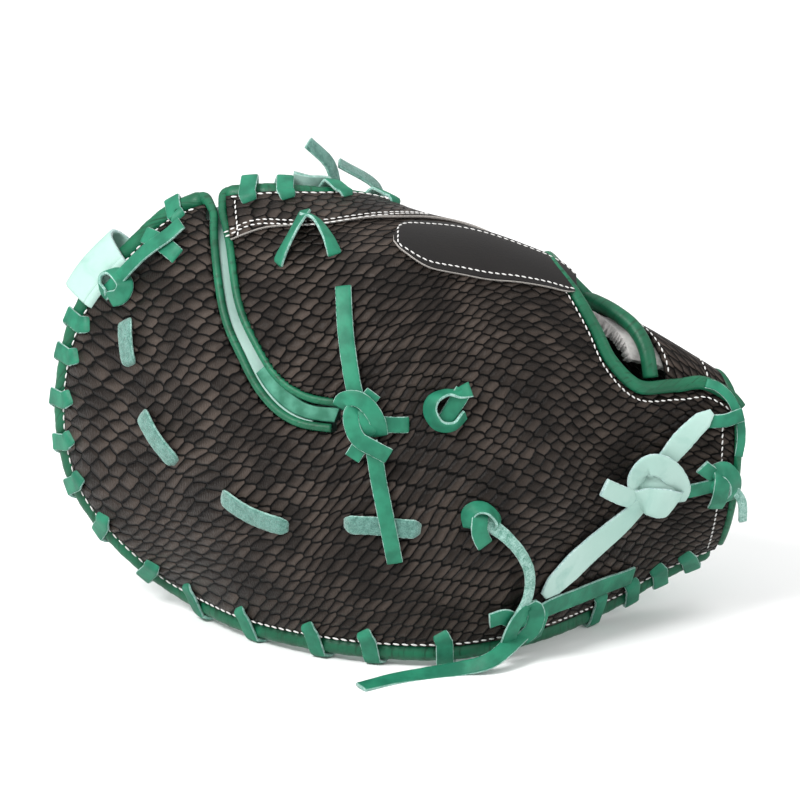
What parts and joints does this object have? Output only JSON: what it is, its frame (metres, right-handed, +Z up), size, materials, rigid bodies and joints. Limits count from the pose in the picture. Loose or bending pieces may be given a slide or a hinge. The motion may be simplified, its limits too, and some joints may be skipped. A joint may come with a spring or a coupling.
{
  "type": "first baseman mitt",
  "caption": "Laced leather first baseman mitt with a slot between finger and thumb paddles, a deep pocket, a back hand opening and a wrist strap, stood on its finger edge.",
  "frame": {"origin": "on the floor under the centre of the box around the mitt as it stands on the edge of its finger side", "axes": "+X from the fingertips to the heel, +Y from the back of the hand to the open pocket, +Z up from the finger edge to the thumb"},
  "size_m": [0.3168, 0.1684, 0.2205],
  "materials": {
    "scale_leather": "black-brown leather embossed with snake scales, satin",
    "smooth_leather": "smooth black leather, satin",
    "mint_leather": "pale mint leather, matt",
    "green_binding": "dark green leather binding, satin",
    "green_lace": "green rawhide lace, satin grain side and matt back",
    "suede_lace": "flesh side of the green lace, matt suede",
    "fleece": "off-white fleece"
  },
  "bodies": {
    "root": {"back_lace_1": "suede_lace", "back_lace_2": "suede_lace", "back_lace_3": "suede_lace", "back_lace_4": "suede_lace", "back_shell": "scale_leather", "bottom_lace": "green_lace", "crescent_lace": "green_lace", "crotch_lace": "green_lace", "finger_patch": "smooth_leather", "finger_rim_lace_1": "green_lace", "finger_rim_lace_10": "green_lace", "finger_rim_lace_11": "green_lace", "finger_rim_lace_12": "green_lace", "finger_rim_lace_13": "green_lace", "finger_rim_lace_14": "green_lace", "finger_rim_lace_15": "green_lace", "finger_rim_lace_16": "green_lace", "finger_rim_lace_17": "green_lace", "finger_rim_lace_2": "green_lace", "finger_rim_lace_3": "green_lace", "finger_rim_lace_4": "green_lace", "finger_rim_lace_5": "green_lace", "finger_rim_lace_6": "green_lace", "finger_rim_lace_7": "green_lace", "finger_rim_lace_8": "green_lace", "finger_rim_lace_9": "green_lace", "heel_knot_lace": "mint_leather", "heel_lace_lower": "green_lace", "heel_lace_upper": "green_lace", "heel_piping": "green_binding", "opening_roll": "green_binding", "palm_heel_roll": "green_binding", "palm_shell": "mint_leather", "rim_roll_fingers": "green_binding", "rim_roll_thumb": "green_binding", "slot_lace": "green_lace", "slot_piping_fingers": "green_binding", "slot_piping_thumb": "green_binding", "strap_fleece": "fleece", "strap_piping": "green_binding", "strap_roll": "green_binding", "stub_lace": "green_lace", "tail_lace": "green_lace", "thumb_lace": "green_lace", "thumb_panel": "scale_leather", "thumb_rim_lace_1": "green_lace", "thumb_rim_lace_2": "green_lace", "thumb_rim_lace_3": "green_lace", "thumb_rim_lace_4": "green_lace", "thumb_rim_lace_5": "green_lace", "thumb_rim_lace_6": "green_lace", "thumb_rim_lace_7": "green_lace", "thumb_rim_lace_8": "green_lace", "thumb_rim_lace_9": "green_lace", "top_lace_1": "green_lace", "top_lace_2": "green_lace", "web_ear": "mint_leather", "web_panel": "mint_leather", "web_tab": "mint_leather", "wrist_strap": "scale_leather"}
  },
  "joints": []
}
